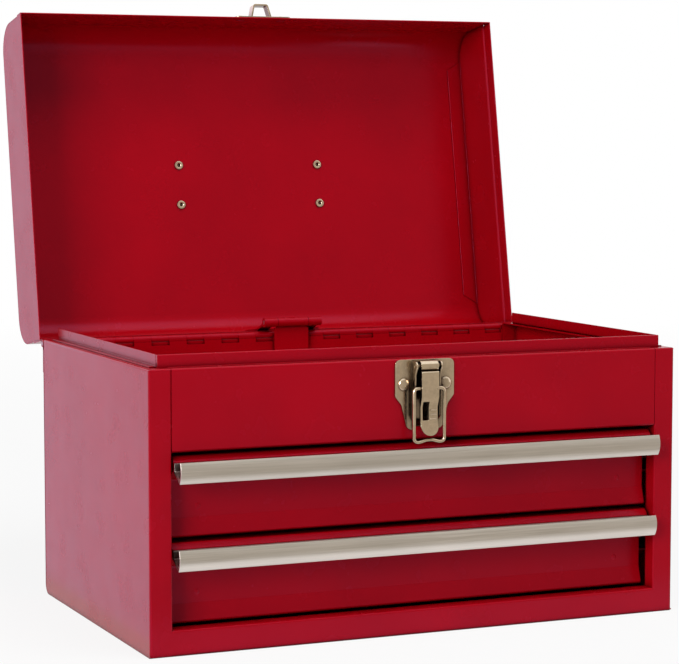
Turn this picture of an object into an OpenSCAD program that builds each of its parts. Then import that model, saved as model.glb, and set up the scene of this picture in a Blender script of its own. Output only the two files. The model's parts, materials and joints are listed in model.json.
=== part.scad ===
// Portable tool box of folded sheet steel: a lidded top well over two drawers.
// Origin: centre of the case's bottom face. +X right, +Y to the rear, +Z up. Millimetres.
// The lid is drawn open on its stop; the upper drawer stands a little way out.

/* [Case] */
// Outside width of the case
case_w = 368; // [330:1:420]
// Outside depth of the case
case_d = 226; // [210:1:260]
// Height of the ledge that the lid closes on
case_h = 177.5; // [165:0.5:200]
// Thickness of the case and lid sheet
sheet = 0.8; // [0.7:0.05:1]
// Outside radius of a plain fold
fold_r = 1.6; // [1.2:0.1:2.4]
// Outside radius of the fold between the bottom and the rear wall
heel_r = 7; // [4:0.5:10]
// Width of the stile on each side of the drawers
stile_w = 14.5; // [12:0.5:18]
// Depth of the flange behind a stile, the rail and the front panel
return_d = 10; // [8:0.5:12]
// Width of the flanges that the wrapped sheet is welded to
weld_flange_w = 12; // [8:0.5:16]
// Height of the rail under the drawers
rail_h = 16.5; // [12:0.5:22]
// Height of the fixed panel over the drawers
panel_h = 51.5; // [46:0.5:60]
// Gap of a welded seam between two panels
seam_gap = 0.25; // [0.1:0.05:0.4]

/* [Lips] */
// Height of the lips above the ledge
lip_h = 8; // [6:0.5:10]
// Distance from the front face to the front lip
front_lip_inset = 7; // [5:0.5:9]
// Distance from a side face to its lip
side_lip_inset = 8; // [7:0.5:9]
// Width of a side lip's foot on the ledge
lip_foot_w = 4.2; // [3:0.1:5]
// Gap between the front lip and a side lip
lip_corner_gap = 1; // [0.5:0.1:2]
// Distance from the rear face to the rear end of a side lip
side_lip_rear = 10; // [8:1:30]
// Depth of the hem folded down behind the front lip
hem_h = 5; // [3:0.5:6]

/* [Drawers] */
// Gap between the rail and the lower drawer's front
gap_bottom = 1.2; // [0.8:0.1:2]
// Gap between the two drawer fronts
gap_middle = 2.7; // [1.5:0.1:4]
// Gap between the upper drawer's front and the panel
gap_top = 2.6; // [1.5:0.1:4]
// Gap between a drawer front and a stile
gap_side = 1.75; // [1:0.05:2.5]
// Depth of a drawer front, from the case's front face to its back edge
front_d = 20; // [18:0.5:24]
// How far the top edge of a drawer front lies behind the case's front face
top_setback = 8; // [7:0.5:10]
// How far the nose of a drawer front lies behind the case's front face
nose_setback = 5; // [4.5:0.1:6]
// How far the face under the nose lies behind the case's front face
face_setback = 15.5; // [14:0.5:17]
// How far the bottom edge of a drawer front lies behind the case's front face
foot_setback = 12; // [11:0.5:13]
// Height of the kick at the bottom of a drawer front
kick_h = 12; // [9:0.5:15]
// Height of a drawer's box
box_h = 38; // [32:1:42]
// Clear space behind a drawer's box
box_rear_gap = 23; // [23:0.5:26]
// Travel of a drawer
drawer_travel = 140; // [120:1:145]
// How far the upper drawer stands out
upper_out = 3; // [0:0.5:3]
// Radius of a spot-weld dimple on a drawer front
dimple_r = 2.2; // [1.5:0.1:3]
// Distance of a dimple from the end of a drawer front
dimple_inset = 19.5; // [15:0.5:25]

/* [Drawer pulls] */
// Height of a pull
pull_h = 13.5; // [12:0.5:15]
// Wall of a pull's extrusion
pull_wall = 1.3; // [1:0.1:1.6]
// How far a pull stands out of the case's front face
pull_out = 8.5; // [7:0.5:10]
// Gap between the end of a pull and the end of its drawer front
pull_end_gap = 0.3; // [0:0.1:2]
// Distance from the top of a drawer front down to the top of its pull
pull_drop = 2.4; // [2:0.1:3]

/* [Drawer slides] */
// Thickness of a slide, rail and runner together
slide_t = 10; // [9:0.5:12]
// Height of a slide's rail
slide_h = 13; // [11:0.5:15]
// Sheet of a slide
slide_sheet = 1.2; // [1:0.1:1.4]
// Running gap between a rail and its runner
slide_gap = 0.3; // [0.2:0.05:0.4]
// Height of a slide's middle above the drawer front's bottom edge
slide_z = 24; // [20:1:27]
// Length of the spacer at each end of a rail
spacer_l = 25; // [18:1:35]

/* [Hinge] */
// Outside radius of a hinge knuckle
knuckle_r = 2.6; // [2.3:0.1:3]
// Radius of the hinge pin
hinge_pin_r = 1.1; // [0.9:0.05:1.3]
// Radial clearance of a turning pin in its hole
pin_gap = 0.05; // [0.02:0.01:0.1]
// Clearance between two knuckles end to end
knuckle_gap = 0.15; // [0.1:0.05:0.3]
// Number of knuckles, both leaves together
knuckles = 28; // [20:2:36]
// Thickness of a hinge leaf
leaf_t = 1; // [0.8:0.1:1.2]
// Height of each hinge leaf from the hinge's axis
leaf_h = 20; // [14:1:26]
// How far the hinge's axis lies below the ledge
axis_drop = 3.2; // [3:0.1:4]

/* [Lid] */
// Height of the lid from its rim to its top
lid_h = 54; // [48:0.5:62]
// Gap between the closed lid's rim and the ledge
lid_seat_gap = 0.2; // [0.1:0.05:0.4]
// How far the closed lid stands in front of the case's front face
lid_overhang = 4.7; // [4:0.1:5]
// Radius of the lid's two long edges
lid_r = 20; // [12:1:26]
// Height of the widened band along the lid's end rims
band_h = 11; // [8:0.5:14]
// How far that band stands proud of the lid's ends
band_out = 1; // [0.8:0.1:1.2]
// Width of the weld flange of a lid end
lid_flange_w = 12; // [8:0.5:16]
// Angle that the lid opens to
lid_open = 100; // [95:1:105]

/* [Drawer lock] */
// How far the lock's pivot lies in front of the hinge's axis when the lid is open
lock_fore = 7.5; // [7.3:0.1:8]
// How far the lock's pivot lies above the hinge's axis when the lid is open
lock_rise = 9.7; // [9.5:0.1:10.5]
// Outside radius of the lock's knuckles
lock_knuckle_r = 3.25; // [3:0.05:3.4]
// Radius of the lock's pin
lock_pin_r = 1.5; // [1.2:0.1:1.8]
// Width of the lock bar
lock_bar_w = 26; // [24:0.5:28]
// Thickness of the lock bar and of the catches
lock_t = 1.5; // [1.2:0.1:1.6]
// Width of the bracket's base on the lid
lock_base_w = 54; // [50:1:64]
// Width of each of the bracket's two knuckles
lock_side_knuckle_w = 10; // [8:0.5:12]
// Width of the bar's own knuckle
lock_mid_knuckle_w = 23.5; // [22:0.5:24]
// Width of a hook and of a drawer catch
hook_w = 16; // [10:1:20]
// How far a hook reaches down past its catch
hook_bite = 4; // [3:0.5:4.5]
// Height of a drawer catch above the drawer front's bottom edge
catch_z = 18.3; // [15:0.1:21]

/* [Draw latch] */
// Width of the latch plate
latch_w = 41.2; // [40:0.5:48]
// Height of the latch plate
latch_h = 44.6; // [42:0.1:48]
// Thickness of the latch's sheet
latch_t = 1; // [0.8:0.1:1.2]
// Width of the lever
lever_w = 12; // [11:0.5:13]
// Length of the lever below its pivot
lever_l = 44.1; // [40:0.1:46]
// Radius of the lever's rolled eye
lever_eye_r = 3.2; // [3:0.1:3.4]
// Radius of the latch's pin
latch_pin_r = 1.2; // [1:0.05:1.3]
// Distance of the lever's pivot from the case's front face
lever_pivot_out = 6; // [5.5:0.1:6.5]
// Distance of the lever's pivot below the ledge
lever_pivot_drop = 4.4; // [4:0.1:5]
// Distance of the loop's pivot below the lever's pivot
loop_drop = 14.1; // [13:0.1:15]
// Distance of the loop's pivot in front of the lever's pivot
loop_fore = 1.8; // [1.5:0.1:2.2]
// Radius of the loop's wire
wire_r = 1.15; // [1:0.05:1.2]
// Outside width of the loop
loop_w = 23.4; // [23:0.1:24]
// Length of the loop from its pivot to the outside of its end
loop_l = 35.3; // [35:0.1:36]
// Distance between the latch's two rivets
latch_rivet_pitch = 28.9; // [28:0.1:32]
// Angle that the lever swings up through
lever_swing = 140; // [110:1:150]

/* [Lid catch] */
// Width of the catch's base
strike_w = 43; // [40:0.5:46]
// Height of the catch's base
strike_h = 17; // [15:0.5:19]
// How far the catch stands out of the lid
strike_out = 11.5; // [10:0.5:12]
// Height of the catch's bridge
strike_bridge_h = 7; // [6:0.5:8]
// Distance between the catch's two rivets
strike_rivet_pitch = 31.5; // [31:0.5:35]

/* [Carry handle] */
// Distance between the handle's two mounts, middle to middle
handle_pitch = 111; // [90:1:140]
// Distance between the two rivets of a mount
mount_rivet_pitch = 29.5; // [26:0.5:34]
// Width of a mount
mount_w = 16; // [14:0.5:20]
// Height of the handle's pivot above the lid
handle_pivot_h = 7.5; // [7:0.5:9]
// Radius of the handle's bail
bail_r = 3; // [2.5:0.1:3.5]
// Drop of the bail from its pivot to the middle of the grip
bail_drop = 38; // [34:1:50]
// Radius of the grip
grip_r = 8; // [7:0.5:10]
// Length of the grip
grip_l = 76; // [60:1:90]

/* [Rivets] */
// Radius of a dome rivet's head
rivet_r = 4.2; // [3.5:0.05:4.5]
// Height of a dome rivet's head
rivet_h = 2; // [1.4:0.1:2.2]
// Radius of a rivet's shank
shank_r = 1.9; // [1.6:0.1:2.2]
// Radius of a rivet's rolled tail
tail_r = 3.2; // [3:0.1:3.5]
// Radius of the hole in a rivet's tail
tail_bore_r = 1.3; // [1:0.1:1.5]

/* [Hidden] */
$fn = 48;
eps = 0.01;

paint = [0.6, 0.05, 0.09];
zinc = [0.66, 0.67, 0.68];
nickel = [0.74, 0.71, 0.66];
aluminium = [0.78, 0.76, 0.73];
black_plastic = [0.09, 0.09, 0.1];

// Case planes
half_w = case_w / 2;
front_y = -case_d / 2;
rear_y = case_d / 2;
rear_inner_y = rear_y - sheet;
open_half_w = half_w - stile_w;
panel_z = case_h - panel_h;
lip_top_z = case_h + lip_h;
hem_w = 2 * sheet + 0.2;
floor_z = panel_z + sheet;
well_flange_h = 8;

// Hinge axis and the knuckles' places along it
axis_y = rear_y + knuckle_r + 0.2;
axis_z = case_h - axis_drop;
knuckle_pitch = case_w / knuckles;
knuckle_notch = knuckle_r - 0.3;
rear_top_z = axis_z - knuckle_r + 0.9;
rear_notch_z = axis_z - knuckle_r - 1.7;

// Closed lid planes
lid_half_w = half_w - 0.5;
lid_rim_z = case_h + lid_seat_gap;
lid_top_z = lid_rim_z + lid_h;
lid_front_y = front_y - lid_overhang;
lid_mid_y = (lid_front_y + rear_y) / 2;

// Drawer planes. A level is 0 for the lower drawer and 1 for the upper one.
front_h = (panel_z - rail_h - gap_bottom - gap_middle - gap_top) / 2;
front_half_w = open_half_w - gap_side;
drawer_pitch = front_h + gap_middle;
box_half_w = front_half_w - slide_t;
box_front_y = front_y + face_setback + sheet;
box_rear_y = rear_y - box_rear_gap;
box_foot = 2;
nose_h = 5;
function drawer_z(level) = rail_h + gap_bottom + level * drawer_pitch;
function drawer_out(level) = level * upper_out;

// The lock's pivot from the hinge's axis, with the lid open and closed: [y, z]
function turned(p, a) = [p[0] * cos(a) - p[1] * sin(a), p[0] * sin(a) + p[1] * cos(a)];
lock_open = [-lock_fore, lock_rise];
lock_shut = turned(lock_open, lid_open);
lock_stroke = lock_open[1] - lock_shut[1];
lock_reach = norm(lock_open);
lock_y = axis_y + lock_open[0];
lock_z = axis_z + lock_open[1];
lock_foremost_y = axis_y - lock_reach;
bar_back = 0.9;
catch_lip_h = 5;
catch_top = catch_z + catch_lip_h;
catch_rear_y = lock_foremost_y - 2;
hook_lip_h = catch_lip_h + 2;
hook_clear = 0.8;
hook_lip_y = catch_rear_y - lock_t - upper_out - hook_clear;

// Latch planes
latch_face_y = front_y - latch_t;
latch_top_z = case_h - 0.6;
latch_rivet_z = latch_top_z - 15.6;
lever_y = front_y - lever_pivot_out;
lever_z = case_h - lever_pivot_drop;
loop_y = lever_y - loop_fore;
loop_z = lever_z - loop_drop;
loop_leg_x = loop_w / 2 - wire_r;
strike_top_z = loop_z + loop_l - 2 * wire_r - 0.4;

// ---- Folded sheet ----

function unit(v) = v / norm(v);
function left_of(v) = [-v[1], v[0]];

// The turn of radius r at corner b, on the way from a to c
function turn(a, b, c, r) =
    let (
        steps = ceil(4 + r / 2),
        u = unit(a - b),
        w = unit(c - b),
        half = acos(u * w) / 2,
        centre = b + unit(u + w) * r / sin(half),
        from = b + u * r / tan(half) - centre,
        to = b + w * r / tan(half) - centre,
        start = atan2(from[1], from[0]),
        sweep = (atan2(to[1], to[0]) - start + 540) % 360 - 180
    )
    [for (i = [0:steps]) centre + r * [cos(start + sweep * i / steps), sin(start + sweep * i / steps)]];

// A run of points with its inner corners turned to the radii in the list
function folded(pts, radii) = [
    pts[0],
    for (i = [1:len(pts) - 2]) each turn(pts[i - 1], pts[i], pts[i + 1], radii[i - 1]),
    pts[len(pts) - 1]
];

// The same run moved sideways by t, to its left
function beside(p, t) = [
    for (i = [0:len(p) - 1])
        let (
            before = left_of(unit(p[max(i, 1)] - p[max(i, 1) - 1])),
            after = left_of(unit(p[min(i, len(p) - 2) + 1] - p[min(i, len(p) - 2)])),
            both = before + after
        )
        p[i] + both * 2 * t / (both * both)
];

function reversed(p) = [for (i = [len(p) - 1:-1:0]) p[i]];
function same(r, n) = [for (i = [1:n]) r];

// The cut edge of a folded sheet, t thick to the left of its run of points
module sheet_section(pts, radii, t) {
    run = folded(pts, radii);
    polygon(concat(run, reversed(beside(run, t))));
}

// Extrude an outline along one axis, from a low to a high place
module along_x(low, high) {
    translate([low, 0, 0]) rotate([90, 0, 90]) linear_extrude(high - low) children();
}
module along_y(low, high) {
    translate([0, high, 0]) rotate([90, 0, 0]) linear_extrude(high - low) children();
}
module along_z(low, high) {
    translate([0, 0, low]) linear_extrude(high - low) children();
}
module block(low, high) {
    translate(low) cube(high - low);
}

// A round bar or hole of radius r along one axis
module rod_x(r, low, high, at) {
    translate([low, at[0], at[1]]) rotate([0, 90, 0]) cylinder(r = r, h = high - low);
}
module rod_y(r, low, high, at) {
    translate([at[0], high, at[1]]) rotate([90, 0, 0]) cylinder(r = r, h = high - low);
}

module on_side(side) {
    if (side < 0) mirror([1, 0, 0]) children();
    else children();
}

// Turn what is drawn on the closed lid to the open lid's place
module opened() {
    translate([0, axis_y, axis_z]) rotate([-lid_open, 0, 0]) translate([0, -axis_y, -axis_z]) children();
}

// ---- Case ----

// Side view of the case inside the wrapped sheet, with its heel rounded
module side_outline() {
    heel = turn([front_y, sheet], [rear_inner_y, sheet], [rear_inner_y, case_h], heel_r - sheet);
    crown = turn([front_y, 0], [front_y, case_h], [rear_y, case_h], fold_r);
    polygon(concat([[front_y, sheet]], heel, [[rear_inner_y, case_h]], reversed(crown)));
}

module side_panel(side) {
    color(paint) on_side(side) intersection() {
        union() {
            along_z(sheet, case_h) sheet_section(
                [
                    [half_w - weld_flange_w, rear_inner_y], [half_w, rear_inner_y], [half_w, front_y],
                    [open_half_w, front_y], [open_half_w, front_y + return_d]
                ],
                [sheet + 0.2, fold_r, sheet + 0.2], -sheet
            );
            block([half_w - weld_flange_w, front_y, case_h - sheet], [half_w - eps, rear_inner_y, case_h]);
            block([open_half_w, front_y, case_h - sheet], [half_w - eps, front_y + return_d, case_h]);
            block([half_w - weld_flange_w, front_y + eps, sheet], [half_w - eps, rear_inner_y - heel_r, 2 * sheet]);
        }
        along_x(open_half_w - 1, half_w + 1) side_outline();
        along_y(front_y - 1, rear_y + 1) polygon(concat(
            [[0, 0], [half_w, 0]],
            turn([half_w, 0], [half_w, case_h], [0, case_h], fold_r),
            [[0, case_h]]
        ));
    }
}

module case_wrap() {
    inner_half_w = open_half_w - seam_gap;
    color(paint) difference() {
        union() {
            along_x(-inner_half_w, inner_half_w) sheet_section(
                [
                    [front_y + return_d, rail_h], [front_y, rail_h], [front_y, 0],
                    [rear_y, 0], [rear_y, rear_top_z]
                ],
                [fold_r, fold_r, heel_r], sheet
            );
            for (s = [-1, 1]) on_side(s)
                along_x(inner_half_w - 1, half_w) sheet_section(
                    [[front_y + fold_r, 0], [rear_y, 0], [rear_y, rear_top_z]],
                    [heel_r], sheet
                );
        }
        // room for the lid's knuckles
        for (i = [0:2:knuckles - 1])
            block(
                [-half_w + i * knuckle_pitch - knuckle_gap, rear_y - 2 * sheet, rear_notch_z],
                [-half_w + (i + 1) * knuckle_pitch + knuckle_gap, rear_y + 1, case_h]
            );
    }
}

module front_panel() {
    lip_y = front_y + front_lip_inset;
    face_half_w = open_half_w - seam_gap;
    lip_half_w = half_w - side_lip_inset;
    ledge_run = folded(
        [
            [front_y + return_d, panel_z], [front_y, panel_z], [front_y, case_h],
            [lip_y, case_h], [lip_y, case_h + 1.5]
        ],
        [fold_r, fold_r, 0.4]
    );
    hem = concat(
        turn([lip_y, case_h], [lip_y, lip_top_z], [rear_y, lip_top_z], hem_w / 2 - 0.1),
        turn([lip_y, lip_top_z], [lip_y + hem_w, lip_top_z], [lip_y + hem_w, case_h], hem_w / 2 - 0.1),
        [[lip_y + hem_w, lip_top_z - hem_h], [lip_y + sheet, lip_top_z - hem_h]]
    );
    color(paint) difference() {
        union() {
            along_x(-face_half_w, face_half_w)
                polygon(concat(ledge_run, hem, reversed(beside(ledge_run, -sheet))));
            for (s = [-1, 1]) on_side(s)
                along_x(face_half_w, lip_half_w)
                    polygon(concat([[lip_y, case_h]], hem, [[lip_y + sheet, case_h]]));
        }
        for (s = [-1, 1])
            rod_y(shank_r + pin_gap, front_y - 1, front_y + 2, [s * latch_rivet_pitch / 2, latch_rivet_z]);
    }
}

module side_lip(side) {
    lip_x = half_w - side_lip_inset;
    color(paint) on_side(side)
        along_y(front_y + front_lip_inset + hem_w + lip_corner_gap, rear_y - side_lip_rear)
            sheet_section(
                [[lip_x + lip_foot_w, case_h + sheet], [lip_x, case_h + sheet], [lip_x, lip_top_z]],
                [0.4], sheet
            );
}

// Floor of the top well, resting on the front panel's flange, with three turned-up edges
module well_floor() {
    half = half_w - sheet;
    back = rear_inner_y - sheet;
    fore = front_y + return_d + 0.4;
    slot_half = lock_bar_w / 2 + 1.5;
    color(paint) difference() {
        union() {
            along_y(fore, back) sheet_section(
                [[-half, floor_z + well_flange_h], [-half, floor_z], [half, floor_z], [half, floor_z + well_flange_h]],
                same(fold_r, 2), sheet
            );
            block(
                [-open_half_w + 0.5, front_y + fold_r + 0.2, floor_z],
                [open_half_w - 0.5, fore + eps, floor_z + sheet]
            );
            block([-half + 2, back - sheet, floor_z], [half - 2, back, floor_z + well_flange_h]);
        }
        block(
            [-slot_half, lock_foremost_y + bar_back - 1, floor_z - 1],
            [slot_half, rear_y, floor_z + well_flange_h + 1]
        );
    }
}

// ---- Drawer slides ----

slide_fore = front_y + front_d + 1;
slide_aft = box_rear_y - 2;
rail_web_x = front_half_w;

// A channel open towards -X, with its web's outside at x
module channel(x, depth, height, t, fore, aft, z) {
    along_y(fore, aft) translate([x, z])
        sheet_section(
            [[-depth, height / 2], [0, height / 2], [0, -height / 2], [-depth, -height / 2]],
            same(t + 0.1, 2), -t
        );
}

module slide_rail(level, side) {
    z = drawer_z(level) + slide_z;
    color(zinc) on_side(side) {
        channel(rail_web_x, slide_t - 2.2, slide_h, slide_sheet, slide_fore, slide_aft, z);
        for (y = [slide_fore + 8, slide_aft - spacer_l])
            difference() {
                block(
                    [rail_web_x - eps, y, z - slide_h / 2 + 1.5],
                    [half_w - sheet, y + spacer_l, z + slide_h / 2 - 1.5]
                );
                block(
                    [rail_web_x + slide_sheet, y - 1, z - slide_h / 2 + 1.5 + slide_sheet],
                    [half_w - sheet - slide_sheet, y + spacer_l + 1, z + slide_h / 2 - 1.5 - slide_sheet]
                );
            }
    }
}

module slide_runner(level, side) {
    height = slide_h - 2 * slide_sheet - 2 * slide_gap;
    color(zinc) on_side(side) translate([0, -drawer_out(level), 0])
        mirror([1, 0, 0])
            channel(-box_half_w, slide_t - 3.4, height, slide_sheet, slide_fore, slide_aft, drawer_z(level) + slide_z);
}

// ---- Drawers ----

module drawer_box(level) {
    z = drawer_z(level) + box_foot;
    color(paint) translate([0, -drawer_out(level), 0]) {
        along_y(box_front_y, box_rear_y) sheet_section(
            [[-box_half_w, z + box_h], [-box_half_w, z], [box_half_w, z], [box_half_w, z + box_h]],
            same(fold_r, 2), sheet
        );
        for (y = [box_front_y, box_rear_y - sheet])
            block([-box_half_w + sheet - eps, y, z + sheet - eps], [box_half_w - sheet + eps, y + sheet, z + box_h]);
    }
}

// Where the outside of a drawer front runs: depth behind the case's front face, and height
function front_run() = [
    [front_d, front_h], [top_setback, front_h], [nose_setback, front_h - 3.5],
    [nose_setback, front_h - 3.5 - nose_h], [face_setback, front_h - 3.5 - nose_h - 7],
    [face_setback, kick_h], [foot_setback, 0], [front_d, 0]
];

module drawer_front(level) {
    radii = [fold_r, 1, 1, 4, 1.2, fold_r];
    face_y = front_y + face_setback;
    dimple_z = drawer_z(level) + front_h / 2 - 7;
    color(paint) translate([0, -drawer_out(level), 0]) {
        translate([0, front_y, drawer_z(level)]) {
            along_x(-front_half_w, front_half_w) sheet_section(front_run(), radii, sheet);
            for (x = [-front_half_w, front_half_w - sheet])
                along_x(x, x + sheet) polygon(folded(front_run(), radii));
        }
        for (s = [-1, 1])
            translate([s * (front_half_w - dimple_inset), face_y, dimple_z]) rotate([90, 0, 0])
                cylinder(r1 = dimple_r, r2 = dimple_r / 3, h = 0.45);
    }
}

// V-shaped extrusion: a bowed front plate, and a back leg that ends in a flange on the nose
module drawer_pull(level) {
    half = front_half_w - pull_end_gap;
    top = front_h - pull_drop;
    foot = top - pull_h;
    bow = [
        for (i = [0:10])
            let (s = i / 10)
            [-pull_out + 1.5 * pow(2 * s - 0.9, 2) + 1.6 * pow(1 - s, 3), foot + pull_h * s]
    ];
    leg = [
        [bow[0][0] + 0.2, foot], [nose_setback - 0.6, top - 7.8],
        [nose_setback, top - 6.6], [nose_setback, top - 1.7]
    ];
    bow_inside = beside(bow, -pull_wall);
    leg_top = beside(leg, pull_wall);
    color(aluminium) translate([0, front_y - drawer_out(level), drawer_z(level)])
        along_x(-half, half) polygon(concat(
            bow,
            [for (i = [10:-1:2]) bow_inside[i]],
            [for (i = [1:3]) leg_top[i]],
            reversed(leg)
        ));
}

// Catch on the back of a drawer: a tongue with a turned-up lip
module drawer_catch(level) {
    z = drawer_z(level) + catch_z;
    base_h = 12;
    color(zinc) translate([0, -drawer_out(level), 0])
        along_x(-hook_w / 2, hook_w / 2) sheet_section(
            [
                [box_rear_y, z - base_h], [box_rear_y, z],
                [catch_rear_y - lock_t, z], [catch_rear_y - lock_t, z + catch_lip_h]
            ],
            [lock_t + 0.3, 0.5], -lock_t
        );
}

// ---- Lid hinge ----

// One leaf, up from the axis or down from it, with every other knuckle from the given one
module hinge_leaf(up, first) {
    color(paint) difference() {
        union() {
            block(
                [-half_w, rear_y, axis_z - (up ? 0 : leaf_h)],
                [half_w, rear_y + leaf_t, axis_z + (up ? leaf_h : 0)]
            );
            for (i = [first:2:knuckles - 1])
                rod_x(
                    knuckle_r, -half_w + i * knuckle_pitch + knuckle_gap / 2,
                    -half_w + (i + 1) * knuckle_pitch - knuckle_gap / 2, [axis_y, axis_z]
                );
        }
        // room for the other leaf's knuckles
        for (i = [1 - first:2:knuckles - 1])
            block(
                [
                    -half_w + i * knuckle_pitch - knuckle_gap / 2, rear_y - 1,
                    axis_z - knuckle_notch
                ],
                [
                    -half_w + (i + 1) * knuckle_pitch + knuckle_gap / 2, axis_y + knuckle_r,
                    axis_z + knuckle_notch
                ]
            );
        rod_x(hinge_pin_r + pin_gap, -half_w - 1, half_w + 1, [axis_y, axis_z]);
    }
}

module hinge_leaf_case() {
    hinge_leaf(false, 1);
}

module hinge_leaf_lid() {
    opened() hinge_leaf(true, 0);
}

module hinge_pin() {
    color(zinc) rod_x(hinge_pin_r, -half_w, half_w, [axis_y, axis_z]);
}

// ---- Lid ----

// Outside of the lid's wrapped sheet, from the front rim over the top to the rear rim
lid_run = folded(
    [[lid_front_y, lid_rim_z], [lid_front_y, lid_top_z], [rear_y, lid_top_z], [rear_y, lid_rim_z]],
    [lid_r, lid_r]
);
lid_inner_run = beside(lid_run, -sheet);
handle_rivet_spots = [
    for (s = [-1, 1], t = [-1, 1]) [s * handle_pitch / 2, lid_mid_y + t * mount_rivet_pitch / 2]
];
strike_z = strike_top_z - strike_bridge_h / 2;
catch_rivet_r = 3.6;

module lid_pan() {
    color(paint) opened() difference() {
        along_x(-lid_half_w, lid_half_w) polygon(concat(lid_run, reversed(lid_inner_run)));
        for (p = handle_rivet_spots)
            translate([p[0], p[1], lid_top_z - 2]) cylinder(r = shank_r + pin_gap, h = 3);
        for (s = [-1, 1])
            rod_y(shank_r + pin_gap, lid_front_y - 1, lid_front_y + 2, [s * strike_rivet_pitch / 2, strike_z]);
    }
}

module lid_end(side) {
    band_x = lid_half_w + band_out;
    band_top_z = lid_rim_z + band_h;
    jog = 1.2;
    flange_z = lid_top_z - 2 * sheet;
    bevel = lid_flange_w * 0.6;
    color(paint) opened() on_side(side) {
        intersection() {
            along_y(lid_front_y, rear_y) sheet_section(
                [
                    [band_x, lid_rim_z], [band_x, band_top_z - jog],
                    [lid_half_w, band_top_z], [lid_half_w, lid_top_z]
                ],
                [sheet, sheet], sheet
            );
            along_x(lid_half_w - 2, band_x + 1) union() {
                polygon(lid_inner_run);
                translate([lid_front_y, lid_rim_z]) square([rear_y - lid_front_y, band_h - jog - 1]);
            }
        }
        along_z(flange_z, lid_top_z - sheet) polygon([
            [lid_half_w - eps, lid_front_y + lid_r], [lid_half_w - lid_flange_w, lid_front_y + lid_r + bevel],
            [lid_half_w - lid_flange_w, rear_y - lid_r - bevel], [lid_half_w - eps, rear_y - lid_r]
        ]);
    }
}

// ---- Drawer lock ----
// The bar hangs from the lid beside the hinge. It drops as the lid closes, and its hooks
// come down in front of the drawers' catches.

module lock_bracket() {
    wall_y = rear_inner_y - axis_y;
    base_z = 6.8;
    base_h = 10;
    color(paint) opened() translate([0, axis_y, axis_z]) difference() {
        union() {
            block([-lock_base_w / 2, wall_y - lock_t, base_z], [lock_base_w / 2, wall_y, base_z + base_h]);
            for (s = [-1, 1]) on_side(s) {
                inner = lock_mid_knuckle_w / 2 + 0.2;
                outer = inner + lock_side_knuckle_w;
                along_x(lock_bar_w / 2 + 0.4, outer) sheet_section(
                    [
                        [wall_y, base_z + base_h], [wall_y, base_z],
                        [lock_shut[0] + 1.6, lock_shut[1] + 1.2]
                    ],
                    [2], -lock_t
                );
                rod_x(lock_knuckle_r, inner, outer, lock_shut);
            }
        }
        rod_x(lock_pin_r + pin_gap, -lock_base_w / 2, lock_base_w / 2, lock_shut);
    }
}

module lock_pin() {
    half = lock_mid_knuckle_w / 2 + lock_side_knuckle_w + 0.2;
    color(zinc) rod_x(lock_pin_r, -half, half, [lock_y, lock_z]);
}

// Height of a hook's lip when the lid is open
function hook_z(level) = drawer_z(level) + catch_top - hook_bite + lock_stroke;

module lock_bar() {
    plate_y = lock_y + bar_back;
    neck_z = lock_z - lock_knuckle_r - 1;
    knuckle_half = lock_mid_knuckle_w / 2 - 0.1;
    bottom_z = hook_z(0) - 6;
    lip_y = hook_lip_y - (lock_shut[0] - lock_open[0]) - lock_t;
    color(paint) difference() {
        union() {
            block([-lock_bar_w / 2, plate_y, bottom_z], [lock_bar_w / 2, plate_y + lock_t, neck_z]);
            block([-knuckle_half, plate_y, neck_z - eps], [knuckle_half, plate_y + lock_t, lock_z]);
            rod_x(lock_knuckle_r, -knuckle_half, knuckle_half, [lock_y, lock_z]);
            for (level = [0, 1])
                along_x(-hook_w / 2, hook_w / 2) sheet_section(
                    [
                        [plate_y + eps, hook_z(level) + hook_lip_h + lock_t],
                        [lip_y, hook_z(level) + hook_lip_h + lock_t], [lip_y, hook_z(level)]
                    ],
                    [lock_t + 0.3], lock_t
                );
        }
        rod_x(lock_pin_r + pin_gap, -lock_bar_w, lock_bar_w, [lock_y, lock_z]);
    }
}

// Staple on the rear wall that keeps the bar upright
module lock_guide() {
    inner_x = lock_bar_w / 2 + 1.3;
    inner_y = lock_foremost_y + bar_back - 2;
    wing = 8;
    color(zinc) along_z(drawer_z(1) + 1, drawer_z(1) + 9) sheet_section(
        [
            [-inner_x - wing, rear_inner_y], [-inner_x, rear_inner_y], [-inner_x, inner_y],
            [inner_x, inner_y], [inner_x, rear_inner_y], [inner_x + wing, rear_inner_y]
        ],
        [lock_t + 0.3, 0.5, 0.5, lock_t + 0.3], -lock_t
    );
}

// ---- Rivets ----

// A rivet along +Z: its head stands on z = 0 and its tail lies under a grip of sheet
module rivet(head_r, head_h, grip, tail_h, bore) {
    dome = (head_r * head_r + head_h * head_h) / (2 * head_h);
    spread = asin(head_r / dome);
    rotate_extrude() polygon(concat(
        [[0, head_h]],
        [for (i = [1:8]) [dome * sin(spread * i / 8), head_h - dome + dome * cos(spread * i / 8)]],
        [[shank_r, 0], [shank_r, -grip], [tail_r, -grip], [tail_r - 0.4, -grip - tail_h]],
        bore > 0
            ? [[bore, -grip - tail_h], [bore, -grip + 0.6], [0, -grip + 0.6]]
            : [[0, -grip - tail_h]]
    ));
}

// ---- Draw latch ----

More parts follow.
